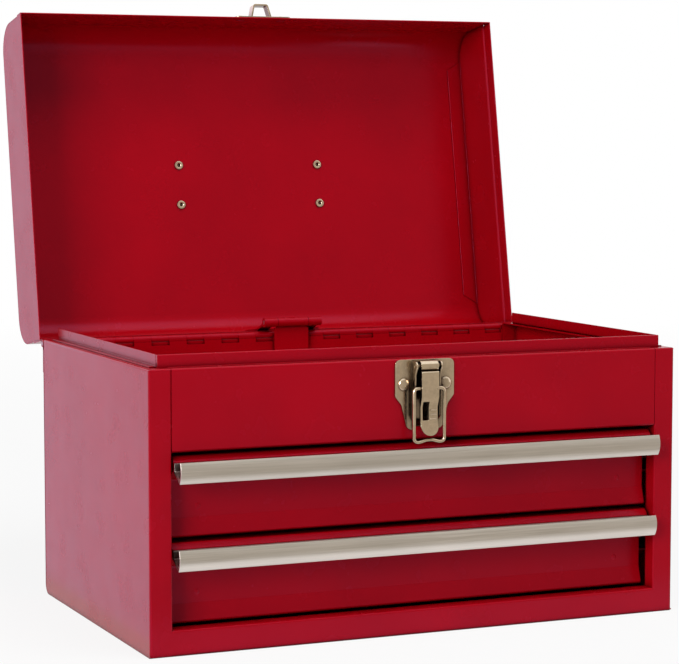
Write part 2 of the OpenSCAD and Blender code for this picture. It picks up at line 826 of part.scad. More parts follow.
module latch_plate() {
    foot_z = latch_top_z - latch_h;
    taper = [latch_w / 2 - 8.5, foot_z];
    waist = [latch_w / 2 - 4.3, latch_top_z - 28.5];
    shoulder = [latch_w / 2, latch_top_z - 23.3];
    half_outline = folded(
        [[0, foot_z], taper, waist, shoulder, [latch_w / 2, latch_top_z], [0, latch_top_z]],
        [4, 6, 3, 3.5]
    );
    ear_x = loop_w / 2 - 2 * wire_r - 0.25;
    ear_r = 2.8;
    wall_y = latch_face_y - 5;
    window_half = ear_x - latch_t - 0.3;
    color(nickel) difference() {
        union() {
            along_y(latch_face_y, front_y)
                polygon(concat(half_outline, [for (p = reversed(half_outline)) [-p[0], p[1]]]));
            for (x = [-ear_x, ear_x - latch_t]) {
                along_x(x, x + latch_t) polygon([
                    [latch_face_y + eps, foot_z + 5], [wall_y, foot_z + 9],
                    [wall_y, lever_z - ear_r - 3], [lever_y - ear_r, lever_z],
                    [lever_y, lever_z + ear_r], [latch_face_y + eps, lever_z + ear_r]
                ]);
                rod_x(ear_r, x, x + latch_t, [lever_y, lever_z]);
            }
        }
        // the lever's tip and the loop hang in front of an open window
        block([-window_half, latch_face_y - 1, foot_z - 1], [window_half, front_y + 1, lever_z - 8]);
        rod_x(latch_pin_r + pin_gap, -ear_x - 1, ear_x + 1, [lever_y, lever_z]);
        for (s = [-1, 1])
            rod_y(shank_r + pin_gap, front_y - 3, front_y + 2, [s * latch_rivet_pitch / 2, latch_rivet_z]);
    }
}

module latch_rivets() {
    color(nickel) for (s = [-1, 1])
        translate([s * latch_rivet_pitch / 2, latch_face_y, latch_rivet_z]) rotate([90, 0, 0])
            rivet(rivet_r, rivet_h, latch_t + sheet, 1.2, 0);
}

module latch_pin() {
    half = loop_w / 2 - 2 * wire_r - 0.25;
    color(nickel) rod_x(latch_pin_r, -half, half, [lever_y, lever_z]);
}

module latch_lever() {
    face_y = lever_y - lever_eye_r;
    strap_y = face_y - 0.6;
    inset_y = strap_y + 2.2;
    half = lever_w / 2;
    tip_z = lever_z - lever_l;
    step_z = lever_z - 19.6;
    slot_x = -2.4;
    cheek_y = latch_face_y - 0.3;
    color(nickel) difference() {
        union() {
            rod_x(lever_eye_r, -half, half, [lever_y, lever_z]);
            intersection() {
                along_x(-half, half) sheet_section(
                    [
                        [lever_y - 1, lever_z - lever_eye_r + 0.4],
                        [strap_y, lever_z - lever_eye_r - 0.2], [strap_y, step_z],
                        [inset_y, step_z - 6.4], [inset_y - 0.2, tip_z + 8.5], [strap_y - 1.2, tip_z - 1]
                    ],
                    [latch_t + 0.3, 1, 1.5, 2], latch_t
                );
                along_y(face_y - 3, lever_y) polygon(folded(
                    [[-half, lever_z], [-half, tip_z], [half, tip_z], [half, lever_z]],
                    same(half - 0.1, 2)
                ));
            }
            for (x = [-half, half - latch_t]) along_x(x, x + latch_t) {
                polygon([
                    [strap_y + latch_t - eps, lever_z - lever_eye_r - 1.2], [lever_y, lever_z - lever_eye_r - 1.2],
                    [cheek_y, lever_z - 10], [cheek_y, step_z + 1], [cheek_y - 2, step_z - 1],
                    [strap_y + latch_t - eps, step_z + 1]
                ]);
            }
            for (x = [-half, half - latch_t])
                rod_x(wire_r + 1.1, x, x + latch_t, [loop_y, loop_z]);
            for (i = [0:2])
                rod_x(0.55, 0.6, half - 0.8, [inset_y, tip_z + 10.4 + i * 2.8]);
        }
        rod_x(latch_pin_r + pin_gap, -half - 1, half + 1, [lever_y, lever_z]);
        rod_x(wire_r + pin_gap, -half - 1, half + 1, [loop_y, loop_z]);
        block([slot_x - 2.2, face_y - 2, tip_z + 9.6], [slot_x + 2.2, face_y + 3.5, tip_z + 21.5]);
    }
}

// A quarter turn of round bar in the XZ plane at depth y, from angle a
module elbow(centre, y, bend, r, a) {
    translate([centre[0], y, centre[1]]) rotate([90, 0, 0]) rotate([0, 0, a])
        rotate_extrude(angle = 90) translate([bend, 0]) circle(r = r);
}

module rod_z(r, low, high, at) {
    translate([at[0], at[1], low]) cylinder(r = r, h = high - low);
}

module latch_loop() {
    end_z = loop_z - loop_l + wire_r;
    top_bend = 2;
    foot_bend = 2.5;
    foot_x = loop_leg_x - foot_bend;
    color(nickel) {
        for (s = [-1, 1]) on_side(s) {
            rod_x(wire_r, lever_w / 2 - latch_t - 0.8, loop_leg_x - top_bend, [loop_y, loop_z]);
            elbow([loop_leg_x - top_bend, loop_z - top_bend], loop_y, top_bend, wire_r, 0);
            rod_z(wire_r, end_z + foot_bend, loop_z - top_bend, [loop_leg_x, loop_y]);
            elbow([foot_x, end_z + foot_bend], loop_y, foot_bend, wire_r, 270);
        }
        rod_x(wire_r, -foot_x, foot_x, [loop_y, end_z]);
    }
}

// ---- Catch on the lid ----

module catch_plate() {
    base_t = 1.2;
    half = strike_w / 2;
    foot = strike_out - 1;
    corner = 3;
    color(nickel) opened() difference() {
        union() {
            along_y(lid_front_y - base_t, lid_front_y) polygon(folded(
                [
                    [0, strike_z - strike_h / 2], [half, strike_z - strike_h / 2], [half, strike_z + strike_h / 2],
                    [-half, strike_z + strike_h / 2], [-half, strike_z - strike_h / 2], [-0.1, strike_z - strike_h / 2]
                ],
                same(corner, 4)
            ));
            along_z(strike_top_z - strike_bridge_h, strike_top_z) sheet_section(
                [
                    [-8.4, lid_front_y - base_t / 2], [-5.6, lid_front_y - strike_out],
                    [5.6, lid_front_y - strike_out], [8.4, lid_front_y - base_t / 2]
                ],
                [2, 2], base_t
            );
        }
        for (s = [-1, 1])
            rod_y(shank_r + pin_gap, lid_front_y - 3, lid_front_y + 2, [s * strike_rivet_pitch / 2, strike_z]);
    }
}

module catch_rivets() {
    color(nickel) opened() for (s = [-1, 1])
        translate([s * strike_rivet_pitch / 2, lid_front_y - 1.2, strike_z]) rotate([90, 0, 0])
            rivet(catch_rivet_r, rivet_h, 1.2 + sheet, 1.2, 0);
}

// ---- Carry handle ----

mount_base_t = 1.5;
mount_ear_t = 4;
// The handle's pivot with the lid open: [y, z]
handle_at = [axis_y, axis_z]
    + turned([lid_mid_y - axis_y, lid_top_z + handle_pivot_h - axis_z], -lid_open);
bail_bend = 5;
bail_leg_x = handle_pitch / 2 - mount_ear_t / 2 - bail_bend - 0.3;

module handle_mount(side) {
    half_l = mount_rivet_pitch / 2 + 6;
    ear_r = bail_r + 2;
    pivot = [lid_mid_y, lid_top_z + handle_pivot_h];
    color(zinc) opened() on_side(side) difference() {
        union() {
            along_z(lid_top_z, lid_top_z + mount_base_t) translate([handle_pitch / 2, lid_mid_y])
                polygon(folded(
                    [
                        [0, -half_l], [mount_w / 2, -half_l], [mount_w / 2, half_l],
                        [-mount_w / 2, half_l], [-mount_w / 2, -half_l], [-0.1, -half_l]
                    ],
                    same(5, 4)
                ));
            along_x((handle_pitch - mount_ear_t) / 2, (handle_pitch + mount_ear_t) / 2) polygon([
                [pivot[0] - ear_r - 3, lid_top_z + mount_base_t - eps], [pivot[0] - ear_r, pivot[1]],
                [pivot[0] + ear_r, pivot[1]], [pivot[0] + ear_r + 3, lid_top_z + mount_base_t - eps]
            ]);
            rod_x(ear_r, (handle_pitch - mount_ear_t) / 2, (handle_pitch + mount_ear_t) / 2, pivot);
        }
        rod_x(bail_r + pin_gap, 0, handle_pitch, pivot);
        for (t = [-1, 1])
            translate([handle_pitch / 2, lid_mid_y + t * mount_rivet_pitch / 2, lid_top_z - 1])
                cylinder(r = shank_r + pin_gap, h = 4);
    }
}

module handle_rivets() {
    color(nickel) opened() for (p = handle_rivet_spots)
        translate([p[0], p[1], lid_top_z + mount_base_t])
            rivet(tail_r, 1.3, mount_base_t + sheet, 1.4, tail_bore_r);
}

// The bail hangs straight down from its pivot
module handle_bail() {
    y = handle_at[0];
    z = handle_at[1];
    foot_bend = 7;
    end_x = (handle_pitch + mount_ear_t) / 2 + 1.5;
    color(zinc) {
        for (s = [-1, 1]) on_side(s) {
            rod_x(bail_r, bail_leg_x + bail_bend, end_x, handle_at);
            elbow([bail_leg_x + bail_bend, z - bail_bend], y, bail_bend, bail_r, 90);
            rod_z(bail_r, z - bail_drop + foot_bend, z - bail_bend, [bail_leg_x, y]);
            elbow([bail_leg_x - foot_bend, z - bail_drop + foot_bend], y, foot_bend, bail_r, 270);
        }
        rod_x(bail_r, foot_bend - bail_leg_x, bail_leg_x - foot_bend, [y, z - bail_drop]);
    }
}

module handle_grip() {
    half = grip_l / 2;
    bore = bail_r + pin_gap;
    profile = folded([[bore, -half], [grip_r, -half], [grip_r, half], [bore, half]], same(3, 2));
    color(black_plastic) translate([0, handle_at[0], handle_at[1] - bail_drop]) rotate([0, 90, 0])
        rotate_extrude() polygon(profile);
}

side_panel(-1);  // side_panel_left
side_panel(1);  // side_panel_right
case_wrap();
front_panel();
side_lip(-1);  // side_lip_left
side_lip(1);  // side_lip_right
well_floor();
slide_rail(1, -1);  // slide_rail_upper_left
slide_rail(1, 1);  // slide_rail_upper_right
slide_rail(0, -1);  // slide_rail_lower_left
slide_rail(0, 1);  // slide_rail_lower_right
slide_runner(1, -1);  // slide_runner_upper_left
slide_runner(1, 1);  // slide_runner_upper_right
slide_runner(0, -1);  // slide_runner_lower_left
slide_runner(0, 1);  // slide_runner_lower_right
drawer_box(1);  // drawer_box_upper
drawer_box(0);  // drawer_box_lower
drawer_front(1);  // drawer_front_upper
drawer_front(0);  // drawer_front_lower
drawer_pull(1);  // drawer_pull_upper
drawer_pull(0);  // drawer_pull_lower
drawer_catch(1);  // drawer_catch_upper
drawer_catch(0);  // drawer_catch_lower
hinge_leaf_case();
hinge_leaf_lid();
hinge_pin();
lid_pan();
lid_end(-1);  // lid_end_left
lid_end(1);  // lid_end_right
lock_bracket();
lock_pin();
lock_bar();
lock_guide();
latch_plate();
latch_rivets();
latch_pin();
latch_lever();
latch_loop();
catch_plate();
catch_rivets();
handle_mount(-1);  // handle_mount_left
handle_mount(1);  // handle_mount_right
handle_rivets();
handle_bail();
handle_grip();
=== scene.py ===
"""A portable tool box with drawers, built round its packed frame: enamelled sheet steel,
a rolled piano hinge, aluminium drawer pulls, a nickel draw latch and a carry handle."""

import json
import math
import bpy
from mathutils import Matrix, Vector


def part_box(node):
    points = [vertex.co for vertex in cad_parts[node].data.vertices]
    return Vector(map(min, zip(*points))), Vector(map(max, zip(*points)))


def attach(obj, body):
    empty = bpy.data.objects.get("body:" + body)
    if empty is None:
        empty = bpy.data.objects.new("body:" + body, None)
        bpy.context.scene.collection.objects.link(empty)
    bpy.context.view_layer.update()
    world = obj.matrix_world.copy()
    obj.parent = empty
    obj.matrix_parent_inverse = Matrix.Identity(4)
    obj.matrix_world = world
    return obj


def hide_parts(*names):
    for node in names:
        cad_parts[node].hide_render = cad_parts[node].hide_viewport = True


bl_info = {
    "name": "Portable Tool Box",
    "version": (1, 0, 0),
    "blender": (4, 5, 0),
    "location": "View3D > Sidebar > Tool Box",
    "description": "Builds a sheet-steel tool box with drawers from its packed frame",
    "category": "Add Mesh",
}

import bmesh
import bpy
from bpy.props import FloatProperty, FloatVectorProperty, IntProperty, PointerProperty
from mathutils import Matrix, Vector

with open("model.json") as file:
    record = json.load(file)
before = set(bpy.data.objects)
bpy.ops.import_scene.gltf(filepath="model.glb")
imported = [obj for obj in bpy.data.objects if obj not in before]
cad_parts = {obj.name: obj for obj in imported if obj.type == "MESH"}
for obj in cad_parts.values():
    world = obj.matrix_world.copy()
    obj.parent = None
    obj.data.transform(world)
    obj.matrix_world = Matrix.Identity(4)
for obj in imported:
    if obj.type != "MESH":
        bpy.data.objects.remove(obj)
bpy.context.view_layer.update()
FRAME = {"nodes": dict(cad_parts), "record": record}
RECORD = FRAME["record"]
BODY_OF = {n: b for b, nodes in RECORD["behaviour"]["bodies"].items() for n in nodes}
SLOT_OF = {s["node"]: s["material_slot"] for s in RECORD["subparts"]}
JOINT = {j["name"]: j for j in RECORD["behaviour"]["joints"]}

MM = 0.001
LID_AXIS = Vector(JOINT["lid_hinge"]["pos_m"])
LID_OPEN = math.radians(JOINT["lid_hinge"]["range_deg"][1])
# Turns what is built on the closed lid to the open place it is stored in
OPENED = (
    Matrix.Translation(LID_AXIS)
    @ Matrix.Rotation(-LID_OPEN, 4, "X")
    @ Matrix.Translation(-LID_AXIS)
)
CLOSED = OPENED.inverted()


def closed_box(node):
    """Lowest and highest corner of a lid's node, with the lid closed."""
    spots = [CLOSED @ v.co for v in FRAME["nodes"][node].data.vertices]
    return (
        Vector([min(p[i] for p in spots) for i in range(3)]),
        Vector([max(p[i] for p in spots) for i in range(3)]),
    )


# ---- Settings ----


def length(name, words, default, low=0.0, high=1.0):
    return FloatProperty(
        name=name, description=words, default=default, min=low, max=high,
        precision=5, subtype="DISTANCE", unit="LENGTH",
    )


def colour(name, words, default):
    return FloatVectorProperty(
        name=name, description=words, default=default, size=3, min=0.0, max=1.0, subtype="COLOR"
    )


def share(name, words, default):
    return FloatProperty(
        name=name, description=words, default=default, min=0.0, max=1.0, subtype="FACTOR"
    )


def whole(name, words, default, low, high):
    return IntProperty(name=name, description=words, default=default, min=low, max=high)


def power(name, words, default):
    return FloatProperty(name=name, description=words, default=default, min=0.0, unit="POWER")


class FinishSettings(bpy.types.PropertyGroup):
    """Colours and surface of each finish."""

    enamel: colour("Enamel", "Colour of the enamel on the sheet steel", (0.36, 0.0006, 0.0048))
    enamel_sheen: colour(
        "Enamel sheen", "Tint of the enamel's reflections, seen head-on", (0.5, 0.22, 0.5)
    )
    enamel_roughness: share("Enamel roughness", "Roughness of the enamel", 0.24)
    peel: length("Orange peel", "Width of the ripples in the enamel", 1.4 * MM, 0.1 * MM, 10 * MM)
    sway: length("Sway", "Width of the slow waves in the sheet steel", 90 * MM, 10 * MM, 500 * MM)
    nickel: colour("Nickel", "Colour of the latch's plating", (0.8, 0.65, 0.48))
    # Painted shade: the plating is drawn in this colour deep in a recess, where shadow falls.
    nickel_painted_shade: colour(
        "Nickel shade", "Colour of the plating deep in a recess", (0.09, 0.06, 0.045)
    )
    zinc: colour("Zinc", "Colour of the zinc-plated steel", (0.55, 0.56, 0.58))
    aluminium: colour("Aluminium", "Colour of the drawer pulls", (0.77, 0.715, 0.66))
    # Painted shade and a painted reflection of the red enamel: the pulls are drawn in this colour
    # deep inside their curl.
    aluminium_painted_shade: colour(
        "Aluminium shade", "Colour of the pulls deep inside", (0.1, 0.02, 0.022)
    )
    plastic: colour("Grip", "Colour of the moulded grip", (0.012, 0.012, 0.013))
    crease: FloatProperty(
        name="Crease", description="Angle past which an edge shades as a crease",
        default=math.radians(32), min=0.0, max=math.pi, subtype="ANGLE", unit="ROTATION",
    )


class RivetSettings(bpy.types.PropertyGroup):
    """Sizes of the rivets."""

    shank: length("Shank radius", "Radius of a rivet's shank", 1.9 * MM)
    dome_rise: length("Dome rise", "Height of a latch rivet's head", 2.0 * MM)
    tail: length("Tail radius", "Radius of a rolled tail", 3.2 * MM)
    tail_rise: length("Tail rise", "Height of a rolled tail", 1.4 * MM)
    bore: length("Bore radius", "Radius of the hole in a rolled tail", 1.3 * MM)
    sides: whole("Sides", "Facets round a rivet", 32, 8, 96)


class HingeSettings(bpy.types.PropertyGroup):
    """Sizes of the piano hinge."""

    knuckle: length("Knuckle radius", "Outside radius of a knuckle", 2.6 * MM)
    bore: length("Bore radius", "Inside radius of a knuckle", 1.15 * MM)
    leaf: length("Leaf thickness", "Thickness of a leaf", 1.0 * MM)
    leaf_height: length("Leaf height", "Height of a leaf from the pin", 20 * MM)
    gap: length("Gap", "Clearance between knuckles, end to end", 0.15 * MM)
    bite: length("Bite", "Reach of a slot's floor beside the other leaf's knuckle", 0.55 * MM)
    slot: length("Slot", "Height of the slot under a knuckle of the other leaf", 1.7 * MM)
    count: whole("Knuckles", "Knuckles of both leaves", 28, 4, 60)


class WireSettings(bpy.types.PropertyGroup):
    """Sizes of the bent wires."""

    loop_wire: length("Loop wire radius", "Radius of the latch loop's wire", 1.15 * MM)
    loop_bend: length("Loop bend", "Bend radius of the latch loop", 2.5 * MM)
    bail_wire: length("Bail radius", "Radius of the handle's bail", 3.0 * MM)
    bail_bend: length("Bail bend", "Bend radius of the bail", 7.0 * MM)
    sides: whole("Sides", "Facets round a wire", 24, 8, 64)


class StudioSettings(bpy.types.PropertyGroup):
    """Stage, lamps and camera."""

    floor: colour("Floor", "Colour of the floor", (0.78, 0.78, 0.78))
    floor_glow: share("Floor glow", "Share of the floor near the box seen as plain white", 0.87)
    panel: colour("Panel", "Colour of the grey panels that gloss shows in front", (0.44, 0.4, 0.34))
    board: colour(
        "Board", "Colour of the cool boards that gloss shows behind on the left", (0.88, 0.8, 1.0)
    )
    board_level: FloatProperty(
        name="Board level", description="Level of the cool boards", default=1.12, min=0.0
    )
    sky: share("Sky level", "Level of the even light from all round", 0.28)
    key: power("Key", "Power of the key lamp", 47.0)
    top: power("Top", "Power of the lamp overhead", 30.0)
    lens: FloatProperty(
        name="Lens", description="Focal length in millimetres", default=124.0, min=20, max=300
    )


SETTINGS = {
    "toolbox_finish": FinishSettings,
    "toolbox_rivets": RivetSettings,
    "toolbox_hinge": HingeSettings,
    "toolbox_wire": WireSettings,
    "toolbox_studio": StudioSettings,
}


# ---- Materials ----


class Shader:
    """A material's node tree, with short words for the nodes it is made of."""

    def __init__(self, name):
        self.material = bpy.data.materials.new(name)
        self.material.use_nodes = True
        self.tree = self.material.node_tree
        self.surface = self.tree.nodes["Principled BSDF"]
        self.place = self.tree.nodes.new("ShaderNodeTexCoord").outputs["Object"]

    def add(self, kind, **values):
        made = self.tree.nodes.new(kind)
        for key, value in values.items():
            setattr(made, key, value)
        return made

    def feed(self, socket, source):
        if isinstance(source, bpy.types.NodeSocket):
            self.tree.links.new(source, socket)
        else:
            socket.default_value = source

    def set(self, **values):
        for key, value in values.items():
            self.feed(self.surface.inputs[key.replace("_", " ")], value)

    def stretched(self, x, y, z):
        mapping = self.add("ShaderNodeMapping")
        self.feed(mapping.inputs["Vector"], self.place)
        mapping.inputs["Scale"].default_value = (x, y, z)
        return mapping.outputs["Vector"]

    def noise(self, width, detail=2.0, roughness=0.5, vector=None):
        made = self.add("ShaderNodeTexNoise")
        self.feed(made.inputs["Vector"], vector or self.place)
        made.inputs["Scale"].default_value = 1 / width
        made.inputs["Detail"].default_value = detail
        made.inputs["Roughness"].default_value = roughness
        return made.outputs["Fac"]

    def ranged(self, value, from_low, from_high, to_low, to_high):
        made = self.add("ShaderNodeMapRange")
        self.feed(made.inputs["Value"], value)
        for key, number in zip(("From Min", "From Max", "To Min", "To Max"),
                               (from_low, from_high, to_low, to_high)):
            made.inputs[key].default_value = number
        return made.outputs["Result"]

    def spread(self, noise, low, high):
        """Brings a noise, most of which lies between 0.3 and 0.7, to this range."""
        return self.ranged(noise, 0.3, 0.7, low, high)

    def mixed(self, factor, first, second):
        made = self.add("ShaderNodeMix", data_type="RGBA")
        self.feed(made.inputs["Factor"], factor)
        # The node's sockets share their names. These are its colour ones
        self.feed(made.inputs[6], first)
        self.feed(made.inputs[7], second)
        return made.outputs[2]

    def hollow(self, reach, low, high, alone=False):
        """From 0 in the open to 1 deep in a recess, of this piece alone or between all: a mask for
        painted shade.
        """
        made = self.add("ShaderNodeAmbientOcclusion", samples=6, only_local=alone)
        made.inputs["Distance"].default_value = reach
        return self.ranged(made.outputs["AO"], high, low, 0.0, 1.0)

    def bump(self, height, strength, distance, over=None):
        made = self.add("ShaderNodeBump")
        self.feed(made.inputs["Height"], height)
        made.inputs["Strength"].default_value = strength
        made.inputs["Distance"].default_value = distance
        if over is not None:
            self.feed(made.inputs["Normal"], over)
        return made.outputs["Normal"]

    def metal(self, base, rough, normal):
        self.set(Base_Color=base, Metallic=1.0, Roughness=rough, Normal=normal)
        return self.material


def tint(rgb, gain=1.0):
    return tuple(min(1.0, c * gain) for c in rgb) + (1.0,)


def enamel_paint(s):
    """Glossy enamel over folded sheet: fine orange peel, slow sway, a few rubbed specks, and
    painted shade in folds and crevices.
    """
    look = Shader("red_enamel")
    rubbed = tint((0.5, 0.08, 0.09))
    smooth, dull = s.enamel_roughness - 0.04, s.enamel_roughness + 0.05
    pool = look.spread(look.noise(60 * MM, detail=3.0), 0.0, 1.0)
    speck = look.ranged(look.noise(1.6 * MM, detail=4.0, roughness=0.7), 0.72, 0.8, 0.0, 0.35)
    patch = look.ranged(look.noise(30 * MM, detail=2.0), 0.6, 0.75, 0.0, 0.4)
    # Painted shade: the enamel darkens in this piece's own folds and corners.
    shade = look.hollow(12 * MM, 0.3, 0.9, alone=True)
    # Painted shade: the enamel turns nearly black in narrow crevices between parts and near the
    # floor.
    painted_crevice_shade = look.hollow(5 * MM, 0.35, 0.85)
    rub = look.add("ShaderNodeMath", operation="MULTIPLY")
    look.feed(rub.inputs[0], speck)
    look.feed(rub.inputs[1], patch)
    base = look.mixed(pool, tint(s.enamel, 0.93), tint(s.enamel, 1.05))
    base = look.mixed(rub.outputs[0], base, rubbed)
    base = look.mixed(shade, base, tint(s.enamel, 0.75))
    base = look.mixed(painted_crevice_shade, base, tint(s.enamel, 0.25))
    sway = look.bump(look.noise(s.sway, detail=1.0), 0.35, 1.2 * MM)
    peel = look.bump(look.noise(s.peel, detail=1.0), 0.25, 0.03 * MM, over=sway)
    look.set(
        Base_Color=base,
        Roughness=look.spread(look.noise(20 * MM, detail=3.0), smooth, dull),
        Normal=peel,
        # The painted crevice shade also takes reflection out of those crevices.
        Specular_IOR_Level=look.ranged(painted_crevice_shade, 0.0, 1.0, 0.5, 0.08),
        Specular_Tint=tint(s.enamel_sheen),
    )
    return look.material


def nickel_plate(s):
    """Bright plating with a yellow cast, soft scratches and tarnish, and painted shade in its
    recesses.
    """
    look = Shader("nickel_plate")
    tarnish = look.ranged(look.noise(6 * MM, detail=4.0, roughness=0.6), 0.42, 0.72, 0.0, 1.0)
    base = look.mixed(tarnish, tint(s.nickel, 1.05), tint(s.nickel, 0.86))
    # Painted shade: the plating darkens deep in its recesses.
    base = look.mixed(look.hollow(12 * MM, 0.42, 0.95), base, tint(s.nickel_painted_shade))
    scratch = look.noise(1.2 * MM, detail=3.0, roughness=0.6, vector=look.stretched(1.0, 1.0, 0.08))
    rough = look.spread(look.noise(4 * MM, detail=3.0), 0.12, 0.26)
    return look.metal(base, rough, look.bump(scratch, 0.12, 0.08 * MM))


def zinc_plate(s):
    """Dull bright zinc with a fine grain."""
    look = Shader("zinc_plate")
    grain = look.noise(0.8 * MM, detail=4.0, roughness=0.65)
    base = look.mixed(look.noise(12 * MM, detail=3.0), tint(s.zinc, 0.82), tint(s.zinc, 1.1))
    rough = look.spread(grain, 0.28, 0.42)
    return look.metal(base, rough, look.bump(grain, 0.15, 0.04 * MM))


def brushed_aluminium(s):
    """Extruded aluminium with fine lines along its length, and painted dark red shade and
    reflection of the enamel inside its curl.
    """
    look = Shader("brushed_aluminium")
    lines = look.noise(0.7 * MM, detail=3.0, roughness=0.6, vector=look.stretched(0.012, 1.0, 1.0))
    cloud = look.noise(30 * MM, detail=3.0, roughness=0.6, vector=look.stretched(0.35, 1.0, 1.0))
    streak = look.spread(lines, 0.0, 1.0)
    base = look.mixed(streak, tint(s.aluminium, 0.88), tint(s.aluminium, 1.06))
    base = look.mixed(look.ranged(cloud, 0.4, 0.75, 0.0, 0.35), base, tint(s.aluminium, 0.78))
    # Painted shade and reflection of the red enamel inside the curl.
    base = look.mixed(look.hollow(14 * MM, 0.55, 0.92), base, tint(s.aluminium_painted_shade))
    rough = look.spread(lines, 0.34, 0.48)
    return look.metal(base, rough, look.bump(lines, 0.2, 0.05 * MM))


def moulded_plastic(s):
    """Black moulded plastic with a fine spark-eroded grain."""
    look = Shader("black_plastic")
    grain = look.noise(0.5 * MM, detail=2.0)
    base = look.mixed(look.noise(10 * MM, detail=2.0), tint(s.plastic, 0.8), tint(s.plastic, 1.6))
    look.set(Base_Color=base, Roughness=look.spread(grain, 0.4, 0.55),
             Normal=look.bump(grain, 0.3, 0.06 * MM))
    return look.material


FINISHES = {
    "red_paint": enamel_paint,
    "nickel": nickel_plate,
    "zinc": zinc_plate,
    "aluminium": brushed_aluminium,
    "black_plastic": moulded_plastic,
}
made_finishes = {}


def finish_for(slot):
    """The material of one of the record's slots, made once."""
    if slot not in made_finishes:
        made_finishes[slot] = FINISHES[slot](bpy.context.scene.toolbox_finish)
    return made_finishes[slot]


# ---- Meshes ----

ROUND_CREASE = math.radians(40)
RIM_CREASE = math.radians(48)
BEND_STEPS = 8


def smooth_by_crease(mesh, crease, merge=True):
    """Merges loose triangles into panels, and shades all but the creases smooth."""
    bm = bmesh.new()
    bm.from_mesh(mesh)
    if merge:
        bmesh.ops.remove_doubles(bm, verts=bm.verts, dist=2e-6)
        bmesh.ops.dissolve_limit(bm, angle_limit=math.radians(0.15), verts=bm.verts, edges=bm.edges)
    for face in bm.faces:
        face.smooth = True
    for edge in bm.edges:
        edge.smooth = len(edge.link_faces) == 2 and edge.calc_face_angle(0.0) < crease
    bm.to_mesh(mesh)
    bm.free()


def even_shading(piece):
    """Large panels keep their own normals beside narrow folds."""
    weighted = piece.modifiers.new("even shading", "WEIGHTED_NORMAL")
    weighted.mode = "FACE_AREA"
    weighted.keep_sharp = True
    weighted.weight = 50


def new_piece(name, mesh, material=None):
    piece = bpy.data.objects.new(name, mesh)
    bpy.context.scene.collection.objects.link(piece)
    if material is not None:
        mesh.materials.clear()
        mesh.materials.append(material)
    return piece


def hand_over(piece, *nodes):
    """The piece stands for these nodes and rides with their body."""
    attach(piece, BODY_OF[nodes[0]])
    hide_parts(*nodes)
    return piece


def close_rail_corners(mesh):
    """Runs the rail's ends into the stiles' rounded folds, so that no dark groove shows."""
    front, rail_top, run = -100 * MM, 20 * MM, 1.2 * MM
    end_low, end_high = 169 * MM, 169.4 * MM
    for vertex in mesh.vertices:
        spot = vertex.co
        if spot.y < front and spot.z < rail_top and end_low < abs(spot.x) < end_high:
            spot.x += math.copysign(run, spot.x)


def dress(node, edge=0.0):
    """The packed solid as one clean mesh in its own finish, with eased edges where asked."""
    mesh = FRAME["nodes"][node].data.copy()
    mesh.name = node + "_skin"
    if node == "case_wrap":
        close_rail_corners(mesh)
    crease = bpy.context.scene.toolbox_finish.crease
    smooth_by_crease(mesh, crease)
    piece = new_piece(node + "_skin", mesh, finish_for(SLOT_OF[node]))
    if edge:
        ease = piece.modifiers.new("eased edges", "BEVEL")
        ease.width = edge
        ease.segments = 2
        ease.limit_method = "ANGLE"
        ease.angle_limit = crease
        ease.harden_normals = True
        ease.use_clamp_overlap = False
    even_shading(piece)
    return hand_over(piece, node)


def mesh_of(name, points, faces, edges=()):
    mesh = bpy.data.meshes.new(name)
    mesh.from_pydata([tuple(p) for p in points], edges, faces)
    mesh.update()
    return mesh


def lathe(name, profile, sides):
    """Turns (radius, height) pairs about Z. Ends at radius 0 close to a point."""
    points, rings = [], []
    for radius, height in profile:
        if radius == 0:
            rings.append([len(points)])
            points.append((0.0, 0.0, height))
        else:
            rings.append(list(range(len(points), len(points) + sides)))
            for i in range(sides):
                a = 2 * math.pi * i / sides
                points.append((radius * math.cos(a), radius * math.sin(a), height))
    faces = []
    for low, high in zip(rings, rings[1:]):
        for i in range(sides):
            j = (i + 1) % sides
            if len(low) == 1:
                faces.append((low[0], high[j], high[i]))
            elif len(high) == 1:
                faces.append((low[i], low[j], high[0]))
            else:
                faces.append((low[i], low[j], high[j], high[i]))
    return mesh_of(name, points, faces)


def face_outwards(mesh):
    bm = bmesh.new()
    bm.from_mesh(mesh)
    bmesh.ops.remove_doubles(bm, verts=bm.verts, dist=1e-7)
    bmesh.ops.recalc_face_normals(bm, faces=bm.faces)
    bm.to_mesh(mesh)
    bm.free()


def swept_strip(name, outer, inner, start, end):
    """A sheet between two runs of (y, z) points, drawn out along X."""
    count = len(outer)
    points = [(x, y, z) for x in (start, end) for y, z in outer + inner]
    n = 2 * count
    faces = []
    for i in range(count - 1):
        faces.append((i, i + 1, count + i + 1, count + i))
        faces.append((n + i, n + count + i, n + count + i + 1, n + i + 1))
        faces.append((i, n + i, n + i + 1, i + 1))
        faces.append((count + i, count + i + 1, n + count + i + 1, n + count + i))
    for i in (0, count - 1):
        faces.append((i, count + i, n + count + i, n + i))
    mesh = mesh_of(name, points, faces)
    face_outwards(mesh)
    return mesh


def joined(mesh, others):
    """Adds other meshes into the first one."""
    bm = bmesh.new()
    for part in [mesh] + others:
        bm.from_mesh(part)
    bm.to_mesh(mesh)
    bm.free()
    for part in others:
        bpy.data.meshes.remove(part)
    return mesh


# ---- Geometry node trees ----


